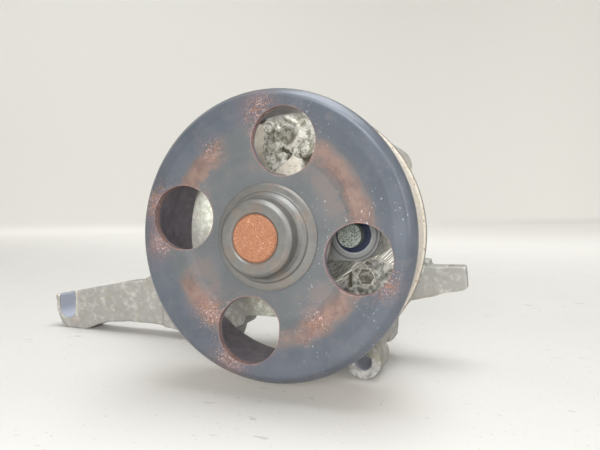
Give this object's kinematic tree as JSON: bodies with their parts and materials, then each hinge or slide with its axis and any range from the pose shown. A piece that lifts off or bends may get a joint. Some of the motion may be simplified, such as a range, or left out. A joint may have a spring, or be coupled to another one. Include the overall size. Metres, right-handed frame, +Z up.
{
  "type": "automotive water pump",
  "caption": "Engine water pump: pressed steel belt pulley with round windows on a hub and shaft, die-cast body with side arms, bearing, face seal and impeller behind.",
  "frame": {"origin": "on the shaft's axis, in the plane of the machined face that bolts to the engine, at the root of the pilot spigot", "axes": "+Y along the shaft towards the engine, so the pulley faces -Y; +Z up as the pump stands on a table; +X towards the short arm"},
  "size_m": [0.2213, 0.105, 0.1134],
  "materials": {
    "pulley_steel": "dark blued steel, semi-gloss, worn, with rust",
    "hub_steel": "dark oxide, satin",
    "shaft_steel": "ground steel, the front end with a copper-coloured rust film",
    "bearing_steel": "ground and polished",
    "cage_polymer": "glass-filled nylon",
    "seal_rubber": "nitrile, matt",
    "impeller_iron": "as cast",
    "ceramic_ring": "lapped",
    "carbon": "pressed carbon",
    "stainless": "pressed stainless steel",
    "cast_aluminium": "rough die cast, stained, machined on its faces",
    "dark_sleeve": "smooth dark liner",
    "porous_filter": "sintered grey-green plug with dark pores",
    "dowel_steel": "ground"
  },
  "bodies": {
    "housing": {"bearing_outer_ring": "bearing_steel", "bearing_front_seal": "seal_rubber", "bearing_rear_seal": "seal_rubber", "seal_cup": "stainless", "seal_bellows": "seal_rubber", "carbon_ring": "carbon", "seal_spring": "stainless", "pump_body": "cast_aluminium", "breather_sleeve": "dark_sleeve", "breather_filter": "porous_filter", "flange_seal_ring": "seal_rubber", "dowel_sleeves": "dowel_steel"},
    "rotor": {"pulley": "pulley_steel", "pulley_hub": "hub_steel", "pump_shaft": "shaft_steel", "impeller": "impeller_iron", "seal_mating_ring": "ceramic_ring", "mating_ring_cup": "seal_rubber", "slinger": "stainless"},
    "ball_row": {"bearing_balls": "bearing_steel", "ball_cage": "cage_polymer"},
    "roller_row": {"bearing_rollers": "bearing_steel", "roller_cage": "cage_polymer"}
  },
  "joints": [
    {"name": "shaft_spin", "type": "hinge", "parent": "housing", "child": "rotor", "pos_m": [0, 0, 0], "axis": [0, 1, 0], "continuous": true},
    {"name": "ball_row_spin", "type": "hinge", "parent": "housing", "child": "ball_row", "pos_m": [0, 0, 0], "axis": [0, 1, 0], "continuous": true},
    {"name": "roller_row_spin", "type": "hinge", "parent": "housing", "child": "roller_row", "pos_m": [0, 0, 0], "axis": [0, 1, 0], "continuous": true}
  ],
  "couplings": [
    {"joint": "ball_row_spin", "follows": "shaft_spin", "ratio": 0.3572},
    {"joint": "roller_row_spin", "follows": "shaft_spin", "ratio": 0.3998}
  ]
}
